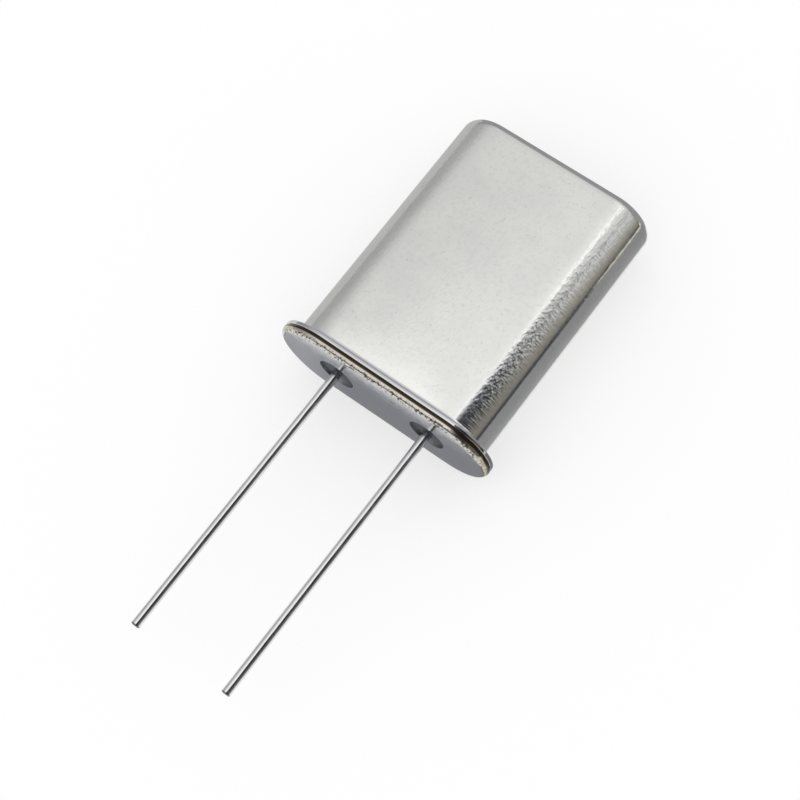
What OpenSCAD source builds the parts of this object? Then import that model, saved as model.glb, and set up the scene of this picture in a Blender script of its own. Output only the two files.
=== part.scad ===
// Quartz crystal unit: a drawn metal can welded to a flanged base, two wire leads
// through glass seals, and a round quartz blank held by slotted spring clips inside.
// It is drawn standing on its seating plane, z = 0, with the leads down and the front
// towards -y, and is then laid on its back: +Y runs from the leads to the closed end,
// +Z is the front broad face, and the origin lies between the leads in the seating plane.

/* [Can] */
// Outer width of the can across its rounded ends
can_w = 9.95; // [9:0.05:12]
// Outer depth of the can between its broad faces
can_d = 3.75; // [3.2:0.05:5]
// Height of the closed end above the seating plane
can_h = 13.46; // [11.5:0.02:16]
// Thickness of the can's sheet
can_wall = 0.25; // [0.15:0.01:0.35]
// Outer radius of the drawn edge round the closed end
can_edge_r = 0.62; // [0.4:0.02:1]
// Radius of the hollow bend where the wall turns out into the flange
can_bend_r = 0.2; // [0.1:0.01:0.3]

/* [Flange] */
// How far the flange stands out past the can's rounded ends
rim_end = 0.6; // [0.45:0.01:0.9]
// How far the flange stands out past the can's broad faces
rim_side = 0.45; // [0.4:0.01:0.8]
// Thickness of the can's flange
can_flange_t = 0.22; // [0.18:0.01:0.35]
// Thickness of the base's flange
base_flange_t = 0.36; // [0.25:0.01:0.6]
// Radius round the lower edge of the base's flange
base_edge_r = 0.27; // [0.1:0.01:0.45]
// Radius of the small sheared edges that form the weld seam
seam_edge_r = 0.08; // [0.03:0.01:0.1]

/* [Base] */
// Height of the raised middle of the base above its flange
boss_h = 0.35; // [0.25:0.01:0.8]
// Radius round the top of the raised middle
boss_edge_r = 0.15; // [0.05:0.01:0.2]
// Gap between the raised middle and the can's wall
boss_clearance = 0.05; // [0.02:0.01:0.15]

/* [Glass seals] */
// Diameter of each glass seal
seal_d = 1.8; // [1.4:0.05:2.2]
// How far the glass stands back from the seating plane
seal_recess = 0.1; // [0.02:0.01:0.2]
// Radius of the glass that climbs each lead
seal_meniscus_r = 0.1; // [0.04:0.01:0.2]

/* [Leads] */
// Diameter of each lead
lead_d = 0.43; // [0.35:0.01:0.6]
// Thickness of the plating on each lead, which stops where the glass begins
lead_plate_t = 0.01; // [0.005:0.005:0.02]
// Distance between the two leads
lead_pitch = 4.88; // [4.4:0.02:5.2]
// Length of each lead below the seating plane
lead_len = 13.8; // [3:0.1:25]
// Radius of the rounded edge at each lead's tip
lead_tip_r = 0.09; // [0.03:0.01:0.15]
// Diameter of the flattened head at each lead's inner end
head_d = 0.9; // [0.7:0.05:1.2]
// Thickness of the flattened head
head_t = 0.15; // [0.1:0.01:0.3]
// Radius round the edges of the flattened head
head_edge_r = 0.04; // [0.02:0.01:0.05]
// Gap between the glass and the underside of the head
head_gap = 0.12; // [0.05:0.01:0.25]

/* [Spring clips] */
// Thickness of the clip's strip
clip_t = 0.12; // [0.1:0.01:0.2]
// Width of the clip's strip
clip_w = 1.9; // [1.6:0.05:2.2]
// Inner radius of the bend between the clip's foot and its upright
clip_bend_r = 0.3; // [0.1:0.05:0.5]
// How far the blank's edge stands through the clip's slot
clip_grip = 0.27; // [0.2:0.01:0.4]
// Gap between the blank and the sides of the slot
slot_clearance = 0.03; // [0.01:0.01:0.06]
// Length of strip left above the slot
clip_end = 0.5; // [0.3:0.05:1]

/* [Quartz blank] */
// Gap between the blank's edge and the can's end walls
blank_gap = 0.725; // [0.5:0.025:1]
// Thickness of the blank, which sets its frequency
blank_t = 1.66; // [1.3:0.02:1.9]
// Thickness left at the blank's edge
blank_edge_t = 0.6; // [0.4:0.02:0.7]
// Width of the bevel round the blank
bevel_w = 0.7; // [0.5:0.02:1]
// Diameter of the plated electrode on each face
electrode_d = 4.6; // [3.5:0.1:5.2]
// Thickness of the plating
electrode_t = 0.04; // [0.02:0.01:0.06]
// Width of the tab that joins each electrode to its clip
tab_w = 1.2; // [0.8:0.1:1.6]
// Margin between the end of the tab and the bevel
tab_margin = 0.05; // [0.02:0.01:0.15]
// Radius of each bead of conductive cement
bead_r = 0.36; // [0.34:0.01:0.45]
// How far the bead would reach into the clip's strip
bead_sink = 0.08; // [0.04:0.01:0.09]
// Height of the bead's centre above the bevel
bead_lift = 0.1; // [0:0.01:0.15]

/* [Hidden] */
$fn = 72;
left = -1;
right = 1;
front = -1;
rear = 1;

inner_w = can_w - 2 * can_wall;
inner_d = can_d - 2 * can_wall;
flange_w = can_w + 2 * rim_end;
flange_d = can_d + 2 * rim_side;
lower_edge_r = min(base_edge_r, base_flange_t - seam_edge_r);
boss_w = inner_w - 2 * boss_clearance;
boss_d = inner_d - 2 * boss_clearance;
boss_top = base_flange_t + boss_h;
lead_x = lead_pitch / 2;
wire_d = lead_d - 2 * lead_plate_t;
plate_z = seal_recess - seal_meniscus_r;
head_z = boss_top + head_gap;
foot_z = head_z + head_t;
blank_r = inner_w / 2 - blank_gap;
blank_z = (foot_z + clip_t + can_h - can_wall) / 2;
flat_r = blank_r - bevel_w;
bevel_slope = (blank_t - blank_edge_t) / 2 / bevel_w;
clip_x = blank_r - clip_grip;
slot_w = 2 * (blank_half_t(clip_x) + slot_clearance);
slot_h = 2 * (sqrt(blank_r * blank_r - clip_x * clip_x) + slot_clearance);
clip_top = blank_z + slot_h / 2 + clip_end;
bead_x = clip_x + bead_sink - bead_r;
bead_y = blank_half_t(bead_x) + bead_lift;

// Half the blank's thickness at a distance r from its middle
function blank_half_t(r) = blank_edge_t / 2 + bevel_slope * min(blank_r - r, bevel_w);

// Lays the standing unit on its back, with its front face up
module lay() {
    rotate([-90, 0, 0]) children();
}

// What a lower outer corner at the origin loses to a radius r
module corner_cut(r) {
    difference() {
        translate([-r, 0]) square(r);
        translate([-r, r]) circle(r);
    }
}

// Half section of half width hw and height h, with its outer corners rounded
module half_section(hw, h, low_r = 0, high_r = 0) {
    difference() {
        square([hw, h]);
        if (low_r > 0) translate([hw, 0]) corner_cut(low_r);
        if (high_r > 0) translate([hw, h]) mirror([0, 1]) corner_cut(high_r);
    }
}

// Hollow fillet of radius r in the corner at the origin, with roots that enter both walls
module fillet(r, root_x, root_y) {
    difference() {
        translate([-root_x, -root_y]) square([r + root_x, r + root_y]);
        translate([r, r]) circle(r);
    }
}

// Solid of obround plan, w by d, whose rim has the half section given as a child
module obround(w, d) {
    run = w - d;
    for (side = [left, right])
        translate([side * run / 2, 0, 0])
            rotate([0, 0, -side * 90])
                rotate_extrude(angle = 180) children();
    translate([-run / 2, 0, 0])
        rotate([90, 0, 90])
            linear_extrude(run) {
                children();
                mirror([1, 0]) children();
            }
}

// Solid of the can's outside: wall with its drawn edge, hollow bend and flange
module can_outside() {
    flange_top = base_flange_t + can_flange_t;
    translate([0, 0, base_flange_t])
        obround(can_w, can_d)
            half_section(can_d / 2, can_h - base_flange_t, high_r = can_edge_r);
    translate([0, 0, base_flange_t])
        obround(flange_w, flange_d)
            half_section(flange_d / 2, can_flange_t, seam_edge_r, seam_edge_r);
    translate([0, 0, flange_top])
        obround(can_w, can_d)
            translate([can_d / 2, 0]) fillet(can_bend_r, can_wall / 2, can_flange_t / 2);
}

// Space inside the can, one sheet in from the outside, with the bend at its mouth
module can_inside() {
    below = can_wall;
    translate([0, 0, base_flange_t - below])
        obround(inner_w, inner_d)
            half_section(inner_d / 2, can_h - can_wall - base_flange_t + below,
                         high_r = can_edge_r - can_wall);
    translate([0, 0, base_flange_t])
        obround(inner_w, inner_d)
            translate([inner_d / 2, 0]) fillet(can_bend_r + can_wall, can_wall, below);
}

module can() {
    color([0.80, 0.80, 0.77]) lay() difference() {
        can_outside();
        can_inside();
    }
}

module base_plate() {
    boss_z = base_flange_t / 2;
    through = boss_top + 2 * base_flange_t;
    color([0.66, 0.66, 0.65]) lay() difference() {
        union() {
            obround(flange_w, flange_d)
                half_section(flange_d / 2, base_flange_t, lower_edge_r, seam_edge_r);
            translate([0, 0, boss_z])
                obround(boss_w, boss_d)
                    half_section(boss_d / 2, boss_top - boss_z, high_r = boss_edge_r);
        }
        for (side = [left, right])
            translate([side * lead_x, 0, -base_flange_t]) cylinder(d = seal_d, h = through);
    }
}

// Glass sleeve between a bare wire and the base, which climbs the wire at its lower face
module glass_seal(side) {
    color([0.08, 0.09, 0.13]) lay() translate([side * lead_x, 0, 0])
        rotate_extrude()
            translate([wire_d / 2, seal_recess]) {
                square([(seal_d - wire_d) / 2, boss_top - seal_recess]);
                mirror([0, 1]) fillet(seal_meniscus_r, 0, seal_meniscus_r);
            }
}

module left_glass_seal() {
    glass_seal(left);
}

module right_glass_seal() {
    glass_seal(right);
}

// Round wire, plated below the glass, with a rounded tip and a flattened head inside
module lead(side) {
    core_z = plate_z - lead_d;
    color([0.72, 0.72, 0.74]) lay() translate([side * lead_x, 0, 0])
        rotate_extrude() {
            translate([0, -lead_len])
                half_section(lead_d / 2, lead_len + plate_z, low_r = lead_tip_r);
            translate([0, core_z]) square([wire_d / 2, head_z + head_t / 2 - core_z]);
            translate([0, head_z]) half_section(head_d / 2, head_t, head_edge_r, head_edge_r);
        }
}

module left_lead() {
    lead(left);
}

module right_lead() {
    lead(right);
}

// Side view of a clip: foot on the lead's head, bend, and upright beside the blank
module clip_profile() {
    foot_x = lead_x - head_d / 2;
    bend_x = clip_x - clip_bend_r;
    bend_z = foot_z + clip_t + clip_bend_r;
    outer_r = clip_bend_r + clip_t;
    translate([foot_x, foot_z]) square([bend_x - foot_x, clip_t]);
    translate([clip_x, bend_z]) square([clip_t, clip_top - bend_z]);
    translate([bend_x, bend_z]) intersection() {
        difference() {
            circle(outer_r);
            circle(clip_bend_r);
        }
        translate([0, -outer_r]) square(outer_r);
    }
}

// Bent spring strip on its own, with the slot that takes the blank's edge
module clip_strip() {
    difference() {
        rotate([90, 0, 0]) linear_extrude(clip_w, center = true) clip_profile();
        translate([clip_x + clip_t / 2, 0, blank_z]) cube([3 * clip_t, slot_w, slot_h], center = true);
    }
}

module left_spring_clip() {
    color([0.62, 0.60, 0.54]) lay() mirror([1, 0, 0]) clip_strip();
}

module right_spring_clip() {
    color([0.62, 0.60, 0.54]) lay() clip_strip();
}

// Round blank with bevelled edges, on its own, its faces towards the front and rear
module blank_disc() {
    translate([0, 0, blank_z]) rotate([90, 0, 0])
        rotate_extrude()
            polygon([
                [0, -blank_t / 2], [flat_r, -blank_t / 2], [blank_r, -blank_edge_t / 2],
                [blank_r, blank_edge_t / 2], [flat_r, blank_t / 2], [0, blank_t / 2]
            ]);
}

module quartz_blank() {
    color([0.86, 0.89, 0.90]) lay() blank_disc();
}

// Plated disc with a tab towards the front clip side, on its own, on the front face
module plated_disc() {
    tab_l = flat_r - tab_margin;
    translate([0, -blank_t / 2, blank_z]) rotate([90, 0, 0])
        linear_extrude(electrode_t) {
            circle(d = electrode_d);
            translate([-tab_l, -tab_w / 2]) square([tab_l, tab_w]);
        }
}

module front_electrode() {
    color([0.90, 0.90, 0.88]) lay() plated_disc();
}

module rear_electrode() {
    color([0.90, 0.90, 0.88]) lay() rotate([0, 0, 180]) plated_disc();
}

// Bead of cement on the right clip and the rear tab, cut to what it is stuck to
module cement_bead() {
    difference() {
        translate([bead_x, rear * bead_y, blank_z]) sphere(bead_r);
        clip_strip();
        blank_disc();
        rotate([0, 0, 180]) plated_disc();
    }
}

module left_adhesive() {
    color([0.55, 0.55, 0.56]) lay() rotate([0, 0, 180]) cement_bead();
}

module right_adhesive() {
    color([0.55, 0.55, 0.56]) lay() cement_bead();
}

can();
base_plate();
left_glass_seal();
right_glass_seal();
left_lead();
right_lead();
left_spring_clip();
right_spring_clip();
quartz_blank();
front_electrode();
rear_electrode();
left_adhesive();
right_adhesive();
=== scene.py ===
# Looks of a quartz crystal unit that lies on its back: a satin drawn can on a stained base,
# dark glass seals and bright wire leads, in a light tent over a pale floor.
import math

import bmesh
import bpy
from mathutils import Euler, Matrix, Vector


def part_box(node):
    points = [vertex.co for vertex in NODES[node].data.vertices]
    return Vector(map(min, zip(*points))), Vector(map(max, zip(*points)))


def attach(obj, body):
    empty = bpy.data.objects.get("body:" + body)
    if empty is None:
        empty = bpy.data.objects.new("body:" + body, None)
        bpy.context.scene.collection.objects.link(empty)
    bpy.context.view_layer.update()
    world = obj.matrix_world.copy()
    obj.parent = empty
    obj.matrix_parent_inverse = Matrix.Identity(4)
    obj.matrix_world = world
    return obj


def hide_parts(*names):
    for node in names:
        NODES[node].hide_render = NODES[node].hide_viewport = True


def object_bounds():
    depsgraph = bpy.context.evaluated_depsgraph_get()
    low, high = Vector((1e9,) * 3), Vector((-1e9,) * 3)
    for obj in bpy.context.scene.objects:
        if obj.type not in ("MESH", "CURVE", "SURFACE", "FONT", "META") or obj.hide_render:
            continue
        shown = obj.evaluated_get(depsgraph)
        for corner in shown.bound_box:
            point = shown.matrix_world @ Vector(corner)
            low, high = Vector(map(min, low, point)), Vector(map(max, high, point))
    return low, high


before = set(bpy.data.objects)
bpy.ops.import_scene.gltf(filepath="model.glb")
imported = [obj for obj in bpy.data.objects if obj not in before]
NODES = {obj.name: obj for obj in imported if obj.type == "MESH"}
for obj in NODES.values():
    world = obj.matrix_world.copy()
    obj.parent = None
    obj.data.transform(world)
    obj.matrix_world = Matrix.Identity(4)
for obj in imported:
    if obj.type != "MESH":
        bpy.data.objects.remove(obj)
CAD_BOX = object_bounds()
BODY = "root"
MM = 0.001

# Sizes read from the CAD parts' boxes in model.glb
can_low, can_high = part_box("can")
base_low, base_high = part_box("base_plate")
FLANGE_W = can_high.x - can_low.x
FLANGE_D = can_high.z - can_low.z
SEAM_Y = can_low.y
CAN_TOP = can_high.y
BOSS_TOP = base_high.y

# Sizes that the boxes don't give
CAN_W = 9.95 * MM
CAN_D = 3.75 * MM
CAN_WALL = 0.25 * MM
CAN_EDGE_R = 0.62 * MM
CAN_BEND_R = 0.2 * MM
CAN_FLANGE_T = 0.22 * MM
SEAM_EDGE_R = 0.08 * MM
BASE_EDGE_R = 0.27 * MM
BOSS_CLEARANCE = 0.05 * MM
BOSS_EDGE_R = 0.15 * MM
SEAL_RECESS = 0.1 * MM
SEAL_MENISCUS_R = 0.1 * MM
LEAD_D = 0.43 * MM
LEAD_PLATE_T = 0.01 * MM
LEAD_TIP_R = 0.09 * MM
HEAD_T = 0.15 * MM
HEAD_EDGE_R = 0.04 * MM
# Height on the base's rim where its stain spots begin, and where they are full
SPOT_START = 0.2 * MM
SPOT_FULL = 0.1 * MM
# Height over the flange in which the wall's dimples reach their full depth
DIMPLE_RISE = 3 * MM

# Half angle through which the can's broad faces bulge at their middle
CROWN = math.radians(1.6)
# Power that moves the highest place of the bulge from the middle towards the flange
CROWN_SKEW = 0.8
# Width of the flat rim that keeps a face's shading flat up to its edge
RIM = 0.004 * MM
# Angle between two faces from which their edge is shaded sharp
SHARP_ANGLE = math.radians(35)

# Steps round a half circle, along a broad face, round a small edge, up the wall, round a wire
# and round the edge of its head
END_STEPS = 72
FACE_STEPS = 24
EDGE_STEPS = 10
WALL_STEPS = 28
WIRE_STEPS = 64
HEAD_STEPS = 4

FLANGE_TOP = SEAM_Y + CAN_FLANGE_T
WIRE_R = LEAD_D / 2 - LEAD_PLATE_T

# Camera, from a fit of the part's outline to the photograph
VIEW_TURN = (math.radians(-15.09), math.radians(-16.17), math.radians(-33.91))
VIEW_OFFSET = (0.817 * MM, 0.195 * MM)
VIEW_DISTANCE = 75.47 * MM
FOCAL_PIXELS = 1750
IMAGE_PIXELS = 800

# The tent is an arch along the part, and its tones go by the angle round it
TENT_R = 0.4
TENT_NEAR = -0.6
TENT_FAR = 0.48
FLOOR_SIZE = 1.6


# Meshes

def arc(out, y, r, start, end, steps=EDGE_STEPS):
    """Points (out, y) on an arc, with its angles in degrees from the outward direction."""
    angles = [math.radians(start + (end - start) * i / steps) for i in range(steps + 1)]
    return [(out + r * math.cos(a), y + r * math.sin(a)) for a in angles]


def obround_ring(width, depth, out, y, crown=0.0):
    """Points of an obround outline, offset outwards, whose broad faces bulge by the crown angle."""
    crown = max(crown, 1e-5)
    half_run = (width - depth) / 2
    r = depth / 2 + out
    drop = half_run / math.tan(crown)
    face_r = r + drop / math.cos(crown)
    half = []
    for i in range(FACE_STEPS):
        a = crown * (2 * i / FACE_STEPS - 1)
        half.append((face_r * math.sin(a), face_r * math.cos(a) - drop))
    for i in range(END_STEPS):
        a = crown + (math.pi - 2 * crown) * i / END_STEPS
        half.append((half_run + r * math.sin(a), r * math.cos(a)))
    return [Vector((x, y, z)) for x, z in half + [(-x, -z) for x, z in half]]


def obround_rings(size, profile):
    """Rings of an obround outline of (width, depth), along a profile of (out, y)."""
    return [obround_ring(*size, out, y) for out, y in profile]


def round_ring(x, r, y):
    """Points of a circle round a lead's axis."""
    turns = [math.tau * i / WIRE_STEPS for i in range(WIRE_STEPS)]
    return [Vector((x + r * math.sin(a), y, r * math.cos(a))) for a in turns]


def add_band(bm, first, second):
    """Quads between two rings of vertices."""
    count = len(first)
    for i in range(count):
        j = (i + 1) % count
        bm.faces.new((first[i], first[j], second[j], second[i]))


def loft(bm, rings, closed=False):
    """Vertices of each ring, joined to the next by quads, and the last to the first if closed."""
    made = [[bm.verts.new(point) for point in ring] for ring in rings]
    for first, second in zip(made, made[1:] + made[:1] if closed else made[1:]):
        add_band(bm, first, second)
    return made


def ring_edges(bm, ring):
    """Edges of a ring of vertices, in order."""
    pairs = zip(ring, ring[1:] + ring[:1])
    return [bm.edges.get(pair) or bm.edges.new(pair) for pair in pairs]


def make_piece(bm, name, node, material):
    """Object from a bmesh, which rides on the body in place of its CAD node."""
    bmesh.ops.recalc_face_normals(bm, faces=bm.faces)
    mesh = bpy.data.meshes.new(name)
    bm.to_mesh(mesh)
    bm.free()
    mesh.shade_smooth()
    mesh.set_sharp_from_angle(angle=SHARP_ANGLE)
    mesh.materials.append(material)
    piece = bpy.data.objects.new(name, mesh)
    bpy.context.scene.collection.objects.link(piece)
    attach(piece, BODY)
    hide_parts(node)
    return piece


def wall_crown(y):
    """Crown angle of the can's faces at a height, none at the flange and the closed end."""
    start = FLANGE_TOP + CAN_BEND_R
    share = (y - start) / (CAN_TOP - CAN_EDGE_R - start)
    return CROWN * math.sin(math.pi * min(max(share, 0.0), 1.0) ** CROWN_SKEW)


def make_can(material):
    """Drawn can, lofted from the inside of its closed end, round the flange, to the outside."""
    can = (CAN_W, CAN_D)
    flange = (FLANGE_W, FLANGE_D)
    inner = (CAN_W - 2 * CAN_WALL, CAN_D - 2 * CAN_WALL)
    inner_r = CAN_EDGE_R - CAN_WALL
    mouth_r = CAN_BEND_R + CAN_WALL
    inner_top = CAN_TOP - CAN_WALL
    wall_start = FLANGE_TOP + CAN_BEND_R
    wall_end = CAN_TOP - CAN_EDGE_R
    inside = [(-inner_r - RIM, inner_top)] + arc(-inner_r, inner_top - inner_r, inner_r, 90, 0)
    inside += arc(mouth_r, SEAM_Y + mouth_r, mouth_r, 180, 270)
    edge = [(-SEAM_EDGE_R - RIM, SEAM_Y)]
    edge += arc(-SEAM_EDGE_R, SEAM_Y + SEAM_EDGE_R, SEAM_EDGE_R, -90, 0)
    edge += arc(-SEAM_EDGE_R, FLANGE_TOP - SEAM_EDGE_R, SEAM_EDGE_R, 0, 90)
    edge.append((-SEAM_EDGE_R - RIM, FLANGE_TOP))
    bend = [(CAN_BEND_R + RIM, FLANGE_TOP)] + arc(CAN_BEND_R, wall_start, CAN_BEND_R, 270, 180)
    steps = [wall_start + (wall_end - wall_start) * i / WALL_STEPS for i in range(1, WALL_STEPS)]
    wall = [wall_start + RIM] + steps + [wall_end - RIM]
    top = arc(-CAN_EDGE_R, wall_end, CAN_EDGE_R, 0, 90) + [(-CAN_EDGE_R - RIM, CAN_TOP)]
    rings = obround_rings(inner, inside) + obround_rings(flange, edge) + obround_rings(can, bend)
    rings += [obround_ring(*can, 0.0, y, wall_crown(y)) for y in wall]
    rings += obround_rings(can, top)
    bm = bmesh.new()
    made = loft(bm, rings)
    bm.faces.new(made[0])
    bm.faces.new(made[-1])
    return make_piece(bm, "drawn_can", "can", material)


def make_base(material):
    """Flanged base with a raised middle and two holes for the seals."""
    flange = (FLANGE_W, FLANGE_D)
    shrink = 2 * (CAN_WALL + BOSS_CLEARANCE)
    boss = (CAN_W - shrink, CAN_D - shrink)
    rim = [(-BASE_EDGE_R - RIM, 0.0)] + arc(-BASE_EDGE_R, BASE_EDGE_R, BASE_EDGE_R, -90, 0)
    rim += arc(-SEAM_EDGE_R, SEAM_Y - SEAM_EDGE_R, SEAM_EDGE_R, 0, 90)
    rim.append((-SEAM_EDGE_R - RIM, SEAM_Y))
    middle = [(0.0, SEAM_Y)] + arc(-BOSS_EDGE_R, BOSS_TOP - BOSS_EDGE_R, BOSS_EDGE_R, 0, 90)
    middle.append((-BOSS_EDGE_R - RIM, BOSS_TOP))
    bm = bmesh.new()
    made = loft(bm, obround_rings(flange, rim) + obround_rings(boss, middle))
    lower, upper = ring_edges(bm, made[0]), ring_edges(bm, made[-1])
    for lead_x, seal_d in SEALS.values():
        hole = loft(bm, [round_ring(lead_x, seal_d / 2, y) for y in (0.0, BOSS_TOP)])
        lower += ring_edges(bm, hole[0])
        upper += ring_edges(bm, hole[-1])
    for edges in (lower, upper):
        bmesh.ops.triangle_fill(bm, use_beauty=True, edges=edges)
    return make_piece(bm, "stamped_base", "base_plate", material)


def make_seal(side, material):
    """Glass sleeve whose lower face climbs the wire."""
    lead_x, seal_d = SEALS[side]
    seal_r = seal_d / 2
    tip = SEAL_RECESS - SEAL_MENISCUS_R
    profile = arc(WIRE_R + SEAL_MENISCUS_R, tip, SEAL_MENISCUS_R, 180, 90)
    profile += [(WIRE_R + SEAL_MENISCUS_R + RIM, SEAL_RECESS), (seal_r - RIM, SEAL_RECESS)]
    profile += [(seal_r, SEAL_RECESS), (seal_r, BOSS_TOP), (WIRE_R, BOSS_TOP)]
    bm = bmesh.new()
    loft(bm, [round_ring(lead_x, r, y) for r, y in profile], closed=True)
    return make_piece(bm, f"{side}_glass_sleeve", f"{side}_glass_seal", material)


def make_lead(side, material):
    """Straight plated wire with a rounded tip and a flattened head inside the can."""
    low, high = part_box(f"{side}_lead")
    lead_x, lead_r = (low.x + high.x) / 2, LEAD_D / 2
    head_r, head_y = (high.x - low.x) / 2, high.y - HEAD_T
    plate_end = SEAL_RECESS - SEAL_MENISCUS_R
    profile = [(lead_r - LEAD_TIP_R - RIM, low.y)]
    profile += arc(lead_r - LEAD_TIP_R, low.y + LEAD_TIP_R, LEAD_TIP_R, -90, 0)
    profile += [(lead_r, plate_end), (WIRE_R, plate_end), (WIRE_R, head_y)]
    profile += arc(head_r - HEAD_EDGE_R, head_y + HEAD_EDGE_R, HEAD_EDGE_R, -90, 0, HEAD_STEPS)
    profile += arc(head_r - HEAD_EDGE_R, high.y - HEAD_EDGE_R, HEAD_EDGE_R, 0, 90, HEAD_STEPS)
    bm = bmesh.new()
    made = loft(bm, [round_ring(lead_x, r, y) for r, y in profile])
    bm.faces.new(made[0])
    bm.faces.new(made[-1])
    return make_piece(bm, f"{side}_wire", f"{side}_lead", material)


def seal_place(side):
    """Distance of a seal from the middle, and its diameter."""
    low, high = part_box(f"{side}_glass_seal")
    return (low.x + high.x) / 2, high.x - low.x


SEALS = {side: seal_place(side) for side in ("left", "right")}


# Material nodes

def add_node(tree, kind, inputs=None, **settings):
    """Node with its settings, and each input set to a value or linked to an output."""
    made = tree.nodes.new(kind)
    for name, value in settings.items():
        setattr(made, name, value)
    for key, value in (inputs or {}).items():
        if isinstance(value, bpy.types.NodeSocket):
            tree.links.new(value, made.inputs[key])
        else:
            made.inputs[key].default_value = value
    return made


def new_surface(name, metallic, roughness, colour):
    """Material with one principled shader, as (material, tree, shader, object coordinates)."""
    material = bpy.data.materials.new(name)
    material.use_nodes = True
    tree = material.node_tree
    shader = tree.nodes["Principled BSDF"]
    shader.inputs["Metallic"].default_value = metallic
    shader.inputs["Roughness"].default_value = roughness
    shader.inputs["Base Color"].default_value = (*colour, 1.0)
    coords = add_node(tree, "ShaderNodeTexCoord").outputs["Object"]
    return material, tree, shader, coords


def noise(tree, coords, scale, detail=2.0, roughness=0.5):
    inputs = {"Vector": coords, "Scale": scale, "Detail": detail, "Roughness": roughness}
    return add_node(tree, "ShaderNodeTexNoise", inputs).outputs["Fac"]


def stretch(tree, coords, scale):
    """Coordinates scaled by axis, to draw a pattern out along the others."""
    inputs = {"Vector": coords, "Scale": scale}
    return add_node(tree, "ShaderNodeMapping", inputs).outputs["Vector"]


def remap(tree, value, low, high, to_low=0.0, to_high=1.0):
    inputs = {0: value, 1: low, 2: high, 3: to_low, 4: to_high}
    return add_node(tree, "ShaderNodeMapRange", inputs, interpolation_type="SMOOTHSTEP").outputs[0]


def maths(tree, operation, first, second=0.0, third=0.0):
    inputs = {0: first, 1: second, 2: third}
    return add_node(tree, "ShaderNodeMath", inputs, operation=operation).outputs[0]


def product(tree, first, *others):
    """Outputs and numbers multiplied together."""
    for other in others:
        first = maths(tree, "MULTIPLY", first, other)
    return first


def split(tree, coords):
    """Outputs X, Y and Z of coordinates."""
    return add_node(tree, "ShaderNodeSeparateXYZ", {0: coords}).outputs


def blend(tree, share, first, second):
    """Colour between two, each a colour or an output."""
    colours = [c if isinstance(c, bpy.types.NodeSocket) else (*c, 1.0) for c in (first, second)]
    inputs = {0: share, 6: colours[0], 7: colours[1]}
    return add_node(tree, "ShaderNodeMix", inputs, data_type="RGBA").outputs[2]


def bump(tree, height, distance, normal=None):
    inputs = {"Height": height, "Distance": distance, "Strength": 1.0}
    if normal is not None:
        inputs["Normal"] = normal
    return add_node(tree, "ShaderNodeBump", inputs).outputs["Normal"]


def join(tree, shader, **outputs):
    """Links outputs to a shader's inputs, whose names have underscores for spaces."""
    for name, output in outputs.items():
        tree.links.new(output, shader.inputs[name.replace("_", " ")])


# Finishes

def end_stain(tree, coords, colour):
    """Colour with a trace of olive tarnish on the rim's two ends."""
    axes = split(tree, coords)
    ends = remap(tree, maths(tree, "ABSOLUTE", axes["X"]), 0.76 * FLANGE_W / 2, 0.94 * FLANGE_W / 2)
    rim = remap(tree, axes["Y"], FLANGE_TOP + CAN_BEND_R / 2, FLANGE_TOP)
    lower = remap(tree, axes["Y"], 0.0, BASE_EDGE_R / 2)
    patchy = remap(tree, noise(tree, coords, 2200, 2), 0.3, 0.6, 0.35, 0.9)
    return blend(tree, product(tree, ends, rim, lower, patchy), colour, (0.34, 0.32, 0.2))


def can_finish():
    """Satin nickel plate with clouds, pits and rubbed lines, dimpled, scuffed sides, and painted shade
    in the bend over the flange.
    """
    material, tree, shader, coords = new_surface("can_plate", 1.0, 0.16, (0.8, 0.8, 0.77))
    axes = split(tree, coords)
    height, side = axes["Y"], maths(tree, "ABSOLUTE", axes["X"])
    clouds = noise(tree, coords, 700, 3)
    colour = blend(tree, remap(tree, clouds, 0.35, 0.65), (0.785, 0.79, 0.765), (0.815, 0.815, 0.785))
    mottle = remap(tree, noise(tree, coords, 4200, 2), 0.48, 0.72, 0.0, 0.6)
    colour = blend(tree, mottle, colour, (0.735, 0.74, 0.725))
    pits = remap(tree, noise(tree, coords, 6500, 1), 0.66, 0.76)
    colour = blend(tree, pits, colour, (0.7, 0.7, 0.68))
    colour = end_stain(tree, coords, colour)
    # Painted shade: the colour darkens to a lilac grey in the bend over the flange, standing in for the
    # shade there, and fades out low on the flange's edge
    bend_painted_shade = remap(tree, height, FLANGE_TOP + CAN_BEND_R, FLANGE_TOP, 0.0, 0.85)
    raised = remap(tree, height, SEAM_Y + 0.1 * CAN_FLANGE_T, SEAM_Y + 0.4 * CAN_FLANGE_T)
    colour = blend(tree, product(tree, bend_painted_shade, raised), colour, (0.5, 0.5, 0.55))
    rubs = remap(tree, noise(tree, stretch(tree, coords, (14000, 500, 14000)), 1, 2), 0.62, 0.8)
    satin = remap(tree, clouds, 0.3, 0.7, 0.08, 0.12)
    rough = maths(tree, "ADD", satin, product(tree, rubs, 0.06))
    bend = (CAN_W - CAN_D) / 2
    drawn = remap(tree, side, 1.08 * bend, 1.2 * bend, 0.2, 1.0)
    worn = remap(tree, side, 1.3 * bend, 1.44 * bend, 1.0, 0.25)
    above_flange = remap(tree, height, FLANGE_TOP, FLANGE_TOP + DIMPLE_RISE, 0.35, 1.0)
    dimples = noise(tree, stretch(tree, coords, (9500, 4500, 9500)), 1, 1)
    peel = bump(tree, product(tree, dimples, above_flange, drawn, worn), 9e-6)
    strokes = remap(tree, noise(tree, stretch(tree, coords, (1800, 15000, 1800)), 1, 1), 0.45, 0.7)
    scuffs = product(tree, strokes, remap(tree, side, 1.2 * bend, 1.35 * bend))
    normal = bump(tree, noise(tree, coords, 1500, 1), 1e-6, bump(tree, scuffs, 1.2e-6, peel))
    join(tree, shader, Base_Color=colour, Roughness=rough, Normal=normal)
    return material


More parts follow.
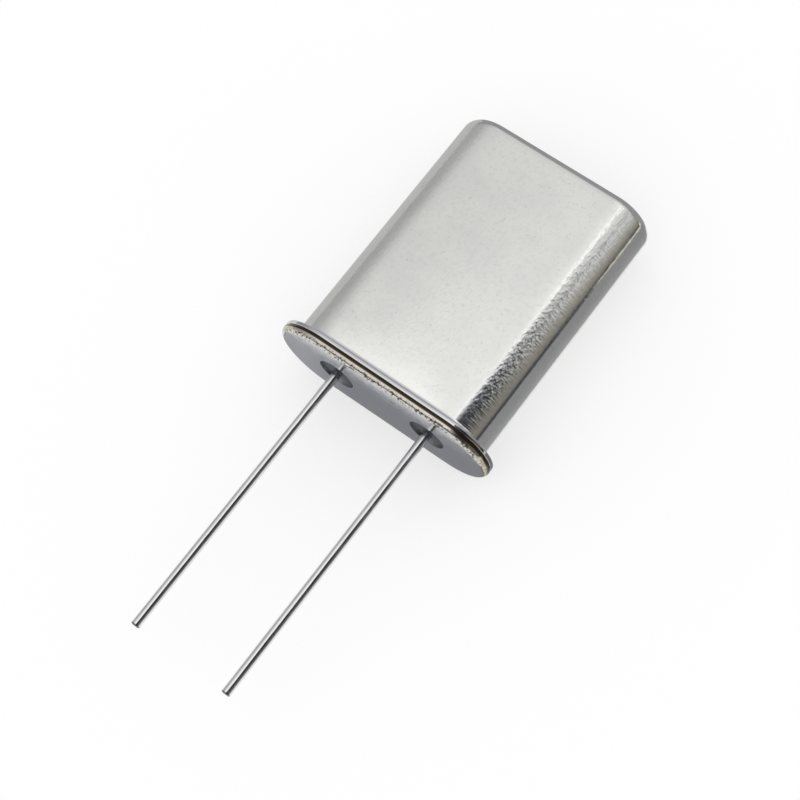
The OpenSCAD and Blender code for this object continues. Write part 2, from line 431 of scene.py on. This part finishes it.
def base_finish():
    """Semi-bright plate, darkened to brown-black in a band along the weld seam and spotted along the
    rim.
    """
    material, tree, shader, coords = new_surface("base_plate_metal", 1.0, 0.2, (0.66, 0.66, 0.65))
    axes = split(tree, coords)
    height = axes["Y"]
    past_run = maths(tree, "SUBTRACT", maths(tree, "ABSOLUTE", axes["X"]), (FLANGE_W - FLANGE_D) / 2)
    past_run = maths(tree, "MAXIMUM", past_run, 0.0)
    spread = add_node(tree, "ShaderNodeCombineXYZ", {"X": past_run, "Z": axes["Z"]}).outputs[0]
    out = add_node(tree, "ShaderNodeVectorMath", {0: spread}, operation="LENGTH").outputs["Value"]
    clouds = noise(tree, coords, 600, 2)
    colour = blend(tree, clouds, (0.6, 0.605, 0.63), (0.67, 0.67, 0.67))
    rim = remap(tree, out, FLANGE_D / 2 - 1.1 * BASE_EDGE_R, FLANGE_D / 2 - 0.8 * BASE_EDGE_R)
    colour = blend(tree, rim, colour, (0.66, 0.63, 0.57))
    lower = remap(tree, height, SPOT_START, SPOT_FULL)
    spots = remap(tree, noise(tree, coords, 9000, 2), 0.5, 0.6)
    colour = blend(tree, product(tree, spots, rim, lower), colour, (0.14, 0.13, 0.11))
    colour = end_stain(tree, coords, colour)
    # Brown-black band on the base's edge just under the seam, darkest next to the seam
    seam = remap(tree, height, SEAM_Y - 2.3 * SEAM_EDGE_R, SEAM_Y - 1.3 * SEAM_EDGE_R)
    colour = blend(tree, seam, colour, (0.05, 0.035, 0.02))
    rough = remap(tree, noise(tree, coords, 2500, 2), 0.3, 0.7, 0.14, 0.24)
    normal = bump(tree, noise(tree, coords, 5000, 2), 3e-6)
    join(tree, shader, Base_Color=colour, Roughness=rough, Normal=normal)
    return material


def glass_finish():
    """Dark sealing glass with faint bubbles and cloud."""
    material, tree, shader, coords = new_surface("sealing_glass", 0.0, 0.12, (0.012, 0.014, 0.022))
    clouds = noise(tree, coords, 2600, 3)
    colour = blend(tree, clouds, (0.014, 0.016, 0.026), (0.05, 0.052, 0.07))
    rough = remap(tree, clouds, 0.3, 0.7, 0.1, 0.22)
    normal = bump(tree, noise(tree, coords, 6000, 2), 3e-6)
    join(tree, shader, Base_Color=colour, Roughness=rough, Normal=normal)
    return material


def wire_finish():
    """Bright plated wire with drawing lines along it."""
    material, tree, shader, coords = new_surface("bright_wire", 1.0, 0.12, (0.72, 0.72, 0.74))
    lines = noise(tree, stretch(tree, coords, (30000, 900, 30000)), 1, 2)
    dulls = noise(tree, coords, 1400, 3)
    colour = blend(tree, dulls, (0.66, 0.66, 0.67), (0.8, 0.8, 0.81))
    height = split(tree, coords)["Y"]
    cut_end = remap(tree, height, CAD_BOX[0].y + 1.2 * LEAD_TIP_R, CAD_BOX[0].y + 0.4 * LEAD_TIP_R)
    colour = blend(tree, cut_end, colour, (0.2, 0.18, 0.17))
    rough = remap(tree, dulls, 0.3, 0.7, 0.12, 0.22)
    normal = bump(tree, lines, 1.5e-6)
    join(tree, shader, Base_Color=colour, Roughness=rough, Normal=normal)
    return material


def strip_finish():
    """Rolled spring strip with rolling lines up it."""
    material, tree, shader, coords = new_surface("spring_strip", 1.0, 0.3, (0.62, 0.6, 0.54))
    lines = noise(tree, stretch(tree, coords, (18000, 700, 18000)), 1, 3)
    colour = blend(tree, lines, (0.56, 0.54, 0.48), (0.68, 0.66, 0.6))
    rough = remap(tree, lines, 0.3, 0.7, 0.24, 0.38)
    join(tree, shader, Base_Color=colour, Roughness=rough, Normal=bump(tree, lines, 2e-6))
    return material


def quartz_finish():
    """Clear quartz with a lapped, faintly frosted surface."""
    material, tree, shader, coords = new_surface("lapped_quartz", 0.0, 0.1, (0.93, 0.95, 0.96))
    shader.inputs["Transmission Weight"].default_value = 1.0
    shader.inputs["IOR"].default_value = 1.54
    frost = noise(tree, coords, 9000, 2)
    rough = remap(tree, frost, 0.3, 0.7, 0.05, 0.3)
    join(tree, shader, Roughness=rough, Normal=bump(tree, frost, 1e-6))
    return material


def plating_finish():
    """Evaporated silver with a trace of tarnish."""
    material, tree, shader, coords = new_surface("silver_film", 1.0, 0.12, (0.9, 0.9, 0.88))
    tarnish = noise(tree, coords, 900, 3)
    colour = blend(tree, tarnish, (0.93, 0.93, 0.91), (0.84, 0.82, 0.76))
    rough = remap(tree, tarnish, 0.3, 0.7, 0.08, 0.2)
    join(tree, shader, Base_Color=colour, Roughness=rough)
    return material


def cement_finish():
    """Grey silver-filled cement with bright flakes."""
    material, tree, shader, coords = new_surface("filled_cement", 0.0, 0.6, (0.55, 0.55, 0.56))
    flakes = noise(tree, coords, 16000, 2)
    colour = blend(tree, remap(tree, flakes, 0.5, 0.65), (0.46, 0.46, 0.47), (0.72, 0.72, 0.73))
    rough = remap(tree, flakes, 0.4, 0.65, 0.65, 0.4)
    join(tree, shader, Base_Color=colour, Roughness=rough, Normal=bump(tree, flakes, 8e-6))
    return material


def dress_inside():
    """Finishes of the pieces inside the can, whose CAD shapes stay as they are."""
    strip, quartz, plating, cement = strip_finish(), quartz_finish(), plating_finish(), cement_finish()
    finishes = {
        "left_spring_clip": strip,
        "right_spring_clip": strip,
        "quartz_blank": quartz,
        "front_electrode": plating,
        "rear_electrode": plating,
        "left_adhesive": cement,
        "right_adhesive": cement,
    }
    for node, material in finishes.items():
        NODES[node].data.materials.clear()
        NODES[node].data.materials.append(material)


# Stage

def stage_piece(name, points, faces, material, only_reflected=True):
    """Floor or card that isn't part of the object. A card shows in reflections only."""
    mesh = bpy.data.meshes.new(name)
    mesh.from_pydata(points, [], faces)
    mesh.materials.append(material)
    piece = bpy.data.objects.new(name, mesh)
    bpy.context.scene.collection.objects.link(piece)
    if only_reflected:
        piece.visible_camera = False
        piece.visible_diffuse = False
        piece.visible_shadow = False
    return piece


def glow_material(name):
    """Material of a lit card, as (material, tree, emission shader, position)."""
    material = bpy.data.materials.new(name)
    material.use_nodes = True
    material.cycles.emission_sampling = "NONE"
    tree = material.node_tree
    tree.nodes.remove(tree.nodes["Principled BSDF"])
    glow = add_node(tree, "ShaderNodeEmission")
    tree.links.new(glow.outputs[0], tree.nodes["Material Output"].inputs["Surface"])
    position = add_node(tree, "ShaderNodeNewGeometry").outputs["Position"]
    return material, tree, glow, position


def tone_ramp(tree, share, stops):
    """Colour that runs through stops of (place, level, tint), from the first place to the last."""
    made = add_node(tree, "ShaderNodeValToRGB", {0: share})
    ramp = made.color_ramp
    while len(ramp.elements) < len(stops):
        ramp.elements.new(1.0)
    first, last = stops[0][0], stops[-1][0]
    for element, (place, level, tint) in zip(ramp.elements, stops):
        element.position = (place - first) / (last - first)
        element.color = (*[level * t for t in tint], 1.0)
    return made.outputs["Color"]


def toned_cloth(name, axis, span, tones):
    """Material of a card whose tone runs along an axis over a span."""
    material, tree, glow, position = glow_material(name)
    share = remap(tree, split(tree, position)[axis], *span)
    tree.links.new(blend(tree, share, *tones), glow.inputs["Color"])
    return material


PLAIN = (1.0, 1.0, 1.0)
COOL = (0.95, 0.99, 1.07)
NAVY = (0.88, 0.94, 1.25)
WARM = (1.05, 1.0, 0.9)

# Tones of the tent by the angle in degrees, from the right floor over the top to the left floor:
# beside the leads, where a dark panel hangs on the right, and beyond the closed end
NEAR_TONES = [
    (0, 0.08, NAVY), (5, 0.2, WARM), (12, 0.22, WARM), (20, 0.18, WARM), (34, 0.08, WARM),
    (50, 0.03, NAVY), (66, 0.04, NAVY), (77, 0.12, NAVY), (82, 1.4, PLAIN), (90, 1.05, PLAIN),
    (105, 0.97, PLAIN), (111, 0.8, PLAIN), (128, 0.72, PLAIN), (136, 0.64, PLAIN), (150, 0.53, PLAIN),
    (160, 0.46, PLAIN), (180, 0.43, PLAIN),
]
FAR_TONES = [
    (0, 0.08, NAVY), (5, 0.2, WARM), (12, 0.29, WARM), (20, 0.4, WARM), (35, 0.62, PLAIN),
    (43, 0.75, PLAIN), (51, 0.45, PLAIN), (60, 0.85, PLAIN), (67, 0.7, PLAIN), (76, 1.25, PLAIN),
    (84, 0.97, PLAIN), (105, 0.85, PLAIN), (111, 0.75, PLAIN), (128, 0.7, PLAIN), (136, 0.63, PLAIN),
    (150, 0.52, PLAIN), (160, 0.46, PLAIN), (180, 0.43, PLAIN),
]
# Places along the tent between which the near tones give way to the far ones, and how far and at
# which angles that change bulges towards the leads
TONE_CHANGE = (0.26 * TENT_R, 0.42 * TENT_R)
CHANGE_BULGE = 0.07 * TENT_R
BULGE_RISE = (64, 84)
BULGE_FALL = (98, 86)
# Brighter lamp over the leads: its end along the tent, its angles, and how much it adds
LAMP_END = (0.27 * TENT_R, 0.235 * TENT_R)
LAMP_RISE = (84, 94)
LAMP_FALL = (125, 112)
LAMP_GAIN = 0.22
TENT_STEPS = 72


def make_tent():
    """Arch of cloth panels along the part, seen only in its reflections."""
    material, tree, glow, position = glow_material("tent_cloth")
    axes = split(tree, position)
    angle = maths(tree, "DEGREES", maths(tree, "ARCTAN2", axes["Z"], axes["X"]))
    share = maths(tree, "DIVIDE", angle, 180)
    bulge = remap(tree, angle, *BULGE_RISE, 0.0, CHANGE_BULGE)
    bulge = product(tree, bulge, remap(tree, angle, *BULGE_FALL))
    along = remap(tree, maths(tree, "ADD", axes["Y"], bulge), *TONE_CHANGE)
    tones = [tone_ramp(tree, share, stops) for stops in (NEAR_TONES, FAR_TONES)]
    tree.links.new(blend(tree, along, *tones), glow.inputs["Color"])
    lamp_span = product(tree, remap(tree, angle, *LAMP_RISE), remap(tree, angle, *LAMP_FALL))
    lamp = product(tree, remap(tree, axes["Y"], *LAMP_END), lamp_span)
    tree.links.new(maths(tree, "MULTIPLY_ADD", lamp, LAMP_GAIN, 1.0), glow.inputs["Strength"])
    angles = [math.pi * i / TENT_STEPS for i in range(TENT_STEPS + 1)]
    rims = [(TENT_R * math.cos(a), TENT_R * math.sin(a)) for a in angles]
    points = [(x, y, z) for x, z in rims for y in (TENT_NEAR, TENT_FAR)]
    faces = [(2 * i, 2 * i + 1, 2 * i + 3, 2 * i + 2) for i in range(TENT_STEPS)]
    return stage_piece("tent", points, faces, material)


# Foot and top of the walls across the tent's two ends, and their tones there
FAR_WALL = (-0.01, 0.4)
FAR_WALL_TONES = ((0.26, 0.26, 0.28), (0.82, 0.82, 0.82))
NEAR_WALL = (0.06, 0.42)
NEAR_WALL_TONES = ((0.16, 0.16, 0.17), (0.24, 0.24, 0.24))


def make_wall(name, y, span, tones):
    """Upright wall across the tent, whose tone runs from its foot to its top."""
    low, high = span
    points = [(-TENT_R, y, low), (TENT_R, y, low), (TENT_R, y, high), (-TENT_R, y, high)]
    return stage_piece(name, points, [(0, 1, 2, 3)], toned_cloth(f"{name}_cloth", "Z", span, tones))


# Level at which the open floor sends back the light, and the share of it that shows
FLOOR_TONE = 0.9
FLOOR_SHOWN = 0.5
# Height of the cards that lie on the floor
CARD_LIFT = 0.05 * MM
# Tones of these cards by the distance from the middle in mm, all of it outside the picture
LEFT_TONES = [(-400, 0.45, PLAIN), (-100, 0.45, PLAIN), (-30, 0.53, PLAIN)]
RIGHT_TONES = [(24, 0.13, COOL), (45, 0.08, COOL), (100, 0.05, COOL), (400, 0.05, COOL)]
# Light strip on the right card: where it starts and ends across, its slant, and its near edge
STRIP_START = (24 * MM, 27 * MM)
STRIP_END = (70 * MM, 50 * MM)
STRIP_SLANT = 0.375
STRIP_EDGE = (8 * MM, 9 * MM)
STRIP_TONE = (0.75, 0.75, 0.58)


def rest_plane():
    """Height at the middle and slope along Y of the plane under the flange and the closed end."""
    flange_y, flange_z = FLANGE_TOP - SEAM_EDGE_R, FLANGE_D / 2 - SEAM_EDGE_R
    end_y, end_z = CAN_TOP - CAN_EDGE_R, CAN_D / 2 - CAN_EDGE_R
    rise, run = flange_z - end_z, end_y - flange_y
    slope = math.acos((CAN_EDGE_R - SEAM_EDGE_R) / math.hypot(rise, run)) - math.atan2(run, rise)
    height = -flange_z - flange_y * math.tan(slope) - SEAM_EDGE_R / math.cos(slope)
    return height, slope


def floor_finish():
    """Pale floor that shows white, in metal and glass too, with the part's soft shadow on it."""
    material = bpy.data.materials.new("pale_floor")
    material.use_nodes = True
    material.cycles.emission_sampling = "NONE"
    tree = material.node_tree
    tree.nodes.remove(tree.nodes["Principled BSDF"])
    path = add_node(tree, "ShaderNodeLightPath").outputs
    mirrored = maths(tree, "MAXIMUM", path["Is Glossy Ray"], path["Is Transmission Ray"])
    shown = maths(tree, "MAXIMUM", path["Is Camera Ray"], mirrored)
    white = maths(tree, "MULTIPLY", shown, 1.0 - FLOOR_SHOWN * FLOOR_TONE)
    tone = maths(tree, "MULTIPLY_ADD", shown, FLOOR_TONE * (FLOOR_SHOWN - 1.0), FLOOR_TONE)
    shade = add_node(tree, "ShaderNodeBsdfDiffuse", {"Color": tone})
    glow = add_node(tree, "ShaderNodeEmission", {"Strength": white})
    both = add_node(tree, "ShaderNodeAddShader", {0: shade.outputs[0], 1: glow.outputs[0]})
    tree.links.new(both.outputs[0], tree.nodes["Material Output"].inputs["Surface"])
    return material


def height_at(y):
    """Height of the floor that the part rests on."""
    height, slope = rest_plane()
    return height + y * math.tan(slope)


def sloped_sheet(left, right, reach, lift=0.0):
    """Corners of a sheet on the floor."""
    corners = ((left, -reach), (right, -reach), (right, reach), (left, reach))
    return [(x, y, height_at(y) + lift) for x, y in corners]


def light_strip(tree, axes, colour):
    """Colour with the light strip over it."""
    past = maths(tree, "SUBTRACT", axes["Y"], product(tree, axes["X"], STRIP_SLANT))
    across = product(tree, remap(tree, axes["X"], *STRIP_START), remap(tree, axes["X"], *STRIP_END))
    return blend(tree, product(tree, across, remap(tree, past, *STRIP_EDGE)), colour, STRIP_TONE)


def make_floor_card(name, tones, with_strip=False):
    """Grey card on the floor beside the picture, with or without the light strip."""
    material, tree, glow, position = glow_material(f"{name}_cloth")
    axes = split(tree, position)
    low, high = tones[0][0] * MM, tones[-1][0] * MM
    share = maths(tree, "DIVIDE", maths(tree, "SUBTRACT", axes["X"], low), high - low)
    colour = tone_ramp(tree, share, tones)
    if with_strip:
        colour = light_strip(tree, axes, colour)
    tree.links.new(colour, glow.inputs["Color"])
    points = sloped_sheet(low, high, TENT_R, CARD_LIFT)
    return stage_piece(name, points, [(0, 1, 2, 3)], material)


def view_place():
    """Turn of the camera, and the place that the photograph is taken from."""
    turn = Euler(VIEW_TURN).to_matrix().transposed()
    return turn, turn @ Vector((*VIEW_OFFSET, VIEW_DISTANCE))


# Flags close to the part: their gaps from it, the heights of their tops, and the places over which
# their tones run, up the first three and across the near one
FLAG_GAP = {"right": 0.1 * MM, "left": 1.25 * MM, "end": 2.1 * MM, "near": 0.05 * MM}
FLAG_TOP = {"right": 0.84 * MM, "left": 1.45 * MM, "end": 2.0 * MM, "near": -0.28 * MM}
FLAG_TONE_TOP = 0.5 * MM
NEAR_FLAG_SPAN = (-5 * MM, -2 * MM)
FLAG_TONES = {
    "right": ((0.4, 0.405, 0.42), (0.29, 0.29, 0.3)),
    "left": ((0.5, 0.5, 0.5), (0.56, 0.56, 0.56)),
    "end": ((0.36, 0.36, 0.36), (0.33, 0.33, 0.34)),
    "near": ((0.42, 0.43, 0.45), (0.28, 0.285, 0.305)),
}
# Where the left flag starts, clear of the flange
LEFT_FLAG_START = 0.9 * MM


def make_flag(side, corners):
    """Low flag between two corners on the floor, which leans to be edge-on to the photograph's view."""
    eye = view_place()[1]
    top = FLAG_TOP[side]
    lean_axis = 0 if corners[0][0] == corners[1][0] else 1
    feet = [Vector((x, y, height_at(y))) for x, y in corners]
    tops = []
    for foot in feet:
        point = foot.copy()
        point[lean_axis] += (eye[lean_axis] - foot[lean_axis]) * (top - foot.z) / (eye.z - foot.z)
        point.z = top
        tops.append(point)
    span = NEAR_FLAG_SPAN if side == "near" else (height_at(0.0), FLAG_TONE_TOP)
    cloth = toned_cloth(f"{side}_flag_cloth", "X" if side == "near" else "Z", span, FLAG_TONES[side])
    return stage_piece(f"{side}_flag", feet + tops[::-1], [(0, 1, 2, 3)], cloth)


def make_flags():
    """Flags that give the part's edges and underside their greys on the white floor."""
    right, left = FLANGE_W / 2 + FLAG_GAP["right"], -CAN_W / 2 - FLAG_GAP["left"]
    near, end = -FLAG_GAP["near"], CAN_TOP + FLAG_GAP["end"]
    make_flag("right", ((right, 0.0), (right, end)))
    make_flag("left", ((left, LEFT_FLAG_START), (left, end)))
    make_flag("end", ((left, end), (right, end)))
    make_flag("near", ((left, near), (right, near)))


def make_stage():
    """Pale floor, white world, and what shows in reflections only."""
    sheet = sloped_sheet(-FLOOR_SIZE / 2, FLOOR_SIZE / 2, FLOOR_SIZE / 2)
    stage_piece("floor", sheet, [(0, 1, 2, 3)], floor_finish(), only_reflected=False)
    make_tent()
    make_floor_card("left_card", LEFT_TONES)
    make_floor_card("right_card", RIGHT_TONES, with_strip=True)
    make_flags()
    make_wall("far_wall", TENT_FAR, FAR_WALL, FAR_WALL_TONES)
    make_wall("near_wall", TENT_NEAR, NEAR_WALL, NEAR_WALL_TONES)
    world = bpy.data.worlds.new("open_studio")
    world.use_nodes = True
    world.node_tree.nodes["Background"].inputs["Color"].default_value = (1.0, 1.0, 1.0, 1.0)
    world.cycles.sampling_method = "NONE"
    bpy.context.scene.world = world


def make_camera():
    """Camera at the photograph's angle, which looks at the part without lens shift."""
    turn, place = view_place()
    data = bpy.data.cameras.new("camera")
    data.lens = data.sensor_width * FOCAL_PIXELS / IMAGE_PIXELS
    data.clip_start = 1 * MM
    data.clip_end = 10.0
    camera = bpy.data.objects.new("camera", data)
    camera.matrix_world = Matrix.Translation(place) @ turn.to_4x4()
    bpy.context.scene.collection.objects.link(camera)
    bpy.context.scene.camera = camera


def make_part():
    """The six outer pieces as finer meshes, and the finishes of those inside."""
    can, base, glass, wire = can_finish(), base_finish(), glass_finish(), wire_finish()
    make_can(can)
    make_base(base)
    for side in SEALS:
        make_seal(side, glass)
        make_lead(side, wire)
    dress_inside()


make_part()
make_stage()
make_camera()
bpy.context.scene.view_settings.view_transform = "Standard"
